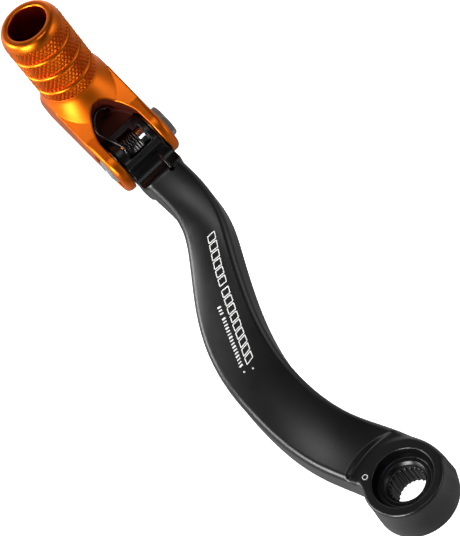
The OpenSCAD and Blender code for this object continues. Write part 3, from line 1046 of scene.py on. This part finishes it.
def screw_sd(p):
    x, y, z = p[:, 0], p[:, 1], p[:, 2]          # z along +y of the fork, from the seat
    r = np.hypot(x, y)
    head = poly_sd(r, z, [(-1, 0), (5.0, 0), (5.25, 0.25), (5.25, 0.95), (5.05, 1.6), (4.6, 2.2), (3.9, 2.72),
                          (3.1, 3.06), (2.6, 3.18), (-1, 3.18)]) - 0.02
    sock = smax(hex_sd(x, y, 2.02), 1.0 - z, 0.15)
    cone = (r - 2.35) * 0.7 + (2.95 - z) * 0.7
    head = smax(head, -sock, 0.12)
    head = np.maximum(head, -np.minimum(9, np.maximum(r - 2.55, 2.98 - z)))
    return np.minimum(head, np.maximum(r - 3.0, np.maximum(z - 0.5, -1.0 - z)))


P, Q, NRM = skin(screw_sd, (-5.8, -5.8, -1.6), (5.8, 5.8, 3.7), 0.16, relax=2)
y0 = FW / 2 - 2.6
Pf = np.stack([P[:, 0], P[:, 2] + y0, -P[:, 1]], 1)
Nf = np.stack([NRM[:, 0], NRM[:, 2], -NRM[:, 1]], 1)
# x, y, z to u, y, w by (x, z, -y) keeps handedness
put("pivot_screw_head", to_world(Pf), Q, "tip", ["pivot_screw"], [M_SCREW], Nf @ FORK.T)

prof = [(0, -FW / 2 - 1.55), (2.3, -FW / 2 - 1.55), (2.75, -FW / 2 - 1.15)]
for q in range(5):
    z = -FW / 2 - 0.9 + q * 0.75
    prof += [(2.98, z), (2.98, z + 0.12), (2.5, z + 0.37), (2.5, z + 0.45)]
prof += [(2.98, -FW / 2 + 3.0), (2.98, y0 - 0.8), (0, y0 - 0.8)]
turned("pivot_screw_shank", prof, 72, "tip", [], M_SCREW)


# ---- nut
def nut_sd(p):
    x, y, z = p[:, 0], p[:, 1], p[:, 2]          # z away from the seat
    r = np.hypot(x, y)
    d = smax(hex_sd(x, y, 5.0), np.abs(z - 1.6) - 1.6, 0.12)
    ch = (r - 5.02) * 0.5 + (z - 3.2) * 0.866
    ch2 = (r - 5.02) * 0.5 + (-z) * 0.866
    d = smax(d, ch, 0.12)
    d = smax(d, ch2, 0.12)
    hole = np.minimum(r - 3.02, (r - 3.45) * 0.7 + (3.2 - z) * 0.7)
    return smax(d, -hole, 0.12)


P, Q, NRM = skin(nut_sd, (-6.1, -6.1, -0.5), (6.1, 6.1, 3.7), 0.16, relax=2)
rot = math.radians(12)
cr, sr = math.cos(rot), math.sin(rot)
P = np.stack([P[:, 0] * cr - P[:, 1] * sr, P[:, 0] * sr + P[:, 1] * cr, P[:, 2]], 1)
NRM = np.stack([NRM[:, 0] * cr - NRM[:, 1] * sr, NRM[:, 0] * sr + NRM[:, 1] * cr, NRM[:, 2]], 1)
Pf = np.stack([P[:, 0], -FW / 2 + 1.3 - P[:, 2], P[:, 1]], 1)
Nf = np.stack([NRM[:, 0], -NRM[:, 2], NRM[:, 1]], 1)
put("pivot_nut_hex", to_world(Pf), Q, "tip", ["pivot_nut"], [M_NUT], Nf @ FORK.T)

# ---- spring legs
LEG_R = WIRE / 2 * 0.97


def smooth_path(pts, n):
    pts = np.asarray(pts, float)
    return catmull(pts, np.linspace(0, len(pts) - 1, n))


# upper leg: from the coil's left end up the pocket's left wall, across its back, into the far wall
c0, c1 = coil_point(0.0), coil_point(0.012)
leg1 = [c1, c0 + (c0 - c1) * 0.2, (-3.2, 2.3, 5.5), (-1.0, 3.0, 7.6), (2.5, 4.2, 8.5), (5.5, 5.2, 8.5), (8.6, 5.7, 8.5),
        (11.3, 4.6, 8.6), (13.0, 3.1, 8.7), (13.9, 1.3, 8.6), (13.8, -0.3, 8.2), (13.2, -1.4, 7.2), (12.9, -2.0, 5.4)]
P, F = sweep_wire(smooth_path(leg1, 110), LEG_R)
ob = put("torsion_spring_leg_upper", to_world(P), F, "tip", [], [M_LEG])
fix_out(ob)
c0, c1 = coil_point(1.0), coil_point(0.988)
leg2 = [c1, c0 + (c0 - c1) * 0.2, (-6.2, -3.15, 3.4), (-8.4, -3.2, 4.9), (-11.0, -3.1, 6.1), (-14.0, -3.0, 7.0),
        (-15.9, -2.9, 6.9), (-16.2, -2.9, 4.6)]
P, F = sweep_wire(smooth_path(leg2, 90), LEG_R * 0.9)
ob = put("torsion_spring_leg_lower", to_world(P), F, "arm", [], [M_LEG])
fix_out(ob)
fix_out(coil)
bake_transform(coil)

# ---------------------------------------------------------------- camera
ROT = Matrix.Rotation(0, 3, "X")
rv = Vector((-0.7951774476, 0.4430195366, 2.2298348725))
R3 = Matrix.Rotation(rv.length, 3, rv.normalized())        # frame to camera axes
T = Vector((56.8183890, -69.3622295, -811.2270060)) * 0.001
cam_d = bpy.data.cameras.new("camera")
cam_d.sensor_fit = "AUTO"
cam_d.sensor_width = 36.0
cam_d.lens = 2700.0 / 536.0 * 36.0
cam_d.clip_start, cam_d.clip_end = 0.01, 20.0
cam = bpy.data.objects.new("camera", cam_d)
bpy.context.scene.collection.objects.link(cam)
Rt = R3.transposed()
cam.matrix_world = Matrix.Translation(-(Rt @ T)) @ Rt.to_4x4()
bpy.context.scene.camera = cam

# ---------------------------------------------------------------- floor and light
bpy.ops.mesh.primitive_plane_add(size=12, location=(0.07, 0, -0.05))
floor = bpy.context.object
floor.name = "floor"
fm, nt, N, L, b = nodes_of("pale_floor")
co = add(nt, "ShaderNodeTexCoord")
nz = add(nt, "ShaderNodeTexNoise", in_Scale=3.0, in_Detail=3.0)
L.new(co.outputs["Object"], nz.inputs["Vector"])
cr_ = ramp(nt, nz.outputs["Fac"], [(0.3, g(0.86)), (0.7, g(0.88))])
L.new(cr_.outputs["Color"], b.inputs["Base Color"])
b.inputs["Roughness"].default_value = 0.85
b.inputs["Specular IOR Level"].default_value = 0.2
b.inputs["Emission Color"].default_value = (1, 1, 1, 1)
b.inputs["Emission Strength"].default_value = 0.85
floor.data.materials.append(fm)
floor.visible_glossy = False         # gloss sees the soft surroundings below, not the lit floor

sc = bpy.context.scene
world = bpy.data.worlds.new("studio")
sc.world = world
world.use_nodes = True
wt = world.node_tree
bg = wt.nodes["Background"]
wc = add(wt, "ShaderNodeTexCoord")


def lobe(az, el, inner, outer, strength):
    """A soft round light in the world, full inside one angle and gone by the other."""
    a, e = math.radians(az), math.radians(el)
    dot = add(wt, "ShaderNodeVectorMath", operation="DOT_PRODUCT")
    wt.links.new(wc.outputs["Generated"], dot.inputs[0])
    dot.inputs[1].default_value = (math.cos(a) * math.cos(e), math.sin(a) * math.cos(e), math.sin(e))
    mr = add(wt, "ShaderNodeMapRange", interpolation_type="SMOOTHSTEP")
    mr.inputs["From Min"].default_value = math.cos(math.radians(outer))
    mr.inputs["From Max"].default_value = math.cos(math.radians(inner))
    mr.inputs["To Max"].default_value = strength
    wt.links.new(dot.outputs["Value"], mr.inputs["Value"])
    return mr.outputs[0]


LOBES = [(0, 0, 10, 52, 0.9), (-40, -5, 10, 45, 0.5), (55, 0, 10, 45, 0.6), (-5, 45, 10, 35, 0.05),
         (200, -38, 15, 60, 0.38), (80, -50, 15, 50, 0.55), (-60, -48, 15, 50, 0.22), (-105, 12, 12, 42, 0.4)]
total = None
for lb in LOBES:
    o = lobe(*lb)
    if total is None:
        total = o
    else:
        sm = add(wt, "ShaderNodeMath", operation="ADD")
        wt.links.new(total, sm.inputs[0])
        wt.links.new(o, sm.inputs[1])
        total = sm.outputs[0]
wb = add(wt, "ShaderNodeMath", operation="ADD")
wb.inputs[1].default_value = 0.015
wt.links.new(total, wb.inputs[0])
wt.links.new(wb.outputs[0], bg.inputs["Strength"])
bg.inputs["Color"].default_value = (1, 1, 1, 1)
sc.view_settings.view_transform = "Standard"
sc.view_settings.look = "None"

CENTRE = Vector((0.07, -0.002, 0.05))


def softbox(name, direction, distance, size, power, size_y=None, colour=(1, 1, 1), spread=None):
    d = Vector(direction).normalized()
    ld = bpy.data.lights.new(name, "AREA")
    ld.shape = "RECTANGLE"
    ld.size = size
    ld.size_y = size_y or size
    ld.energy = power
    ld.color = colour
    ob = bpy.data.objects.new(name, ld)
    sc.collection.objects.link(ob)
    ob.location = CENTRE + d * distance
    ob.rotation_euler = (-d).to_track_quat("-Z", "Y").to_euler()
    return ob


def polar(az, el):
    a, e = math.radians(az), math.radians(el)
    return (math.cos(a) * math.cos(e), math.sin(a) * math.cos(e), math.sin(e))


softbox("key", polar(60, 26), 1.4, 0.7, 14, 0.6)
softbox("side_key", polar(116, 23), 1.4, 0.72, 26, 0.72)
softbox("overhead", polar(205, 78), 1.5, 0.42, 2.2, 0.42)
softbox("rear_fill", polar(230, 12), 1.6, 0.9, 2.6, 0.5)
softbox("side_fill", polar(318, 28), 1.6, 0.8, 0.7, 0.5)
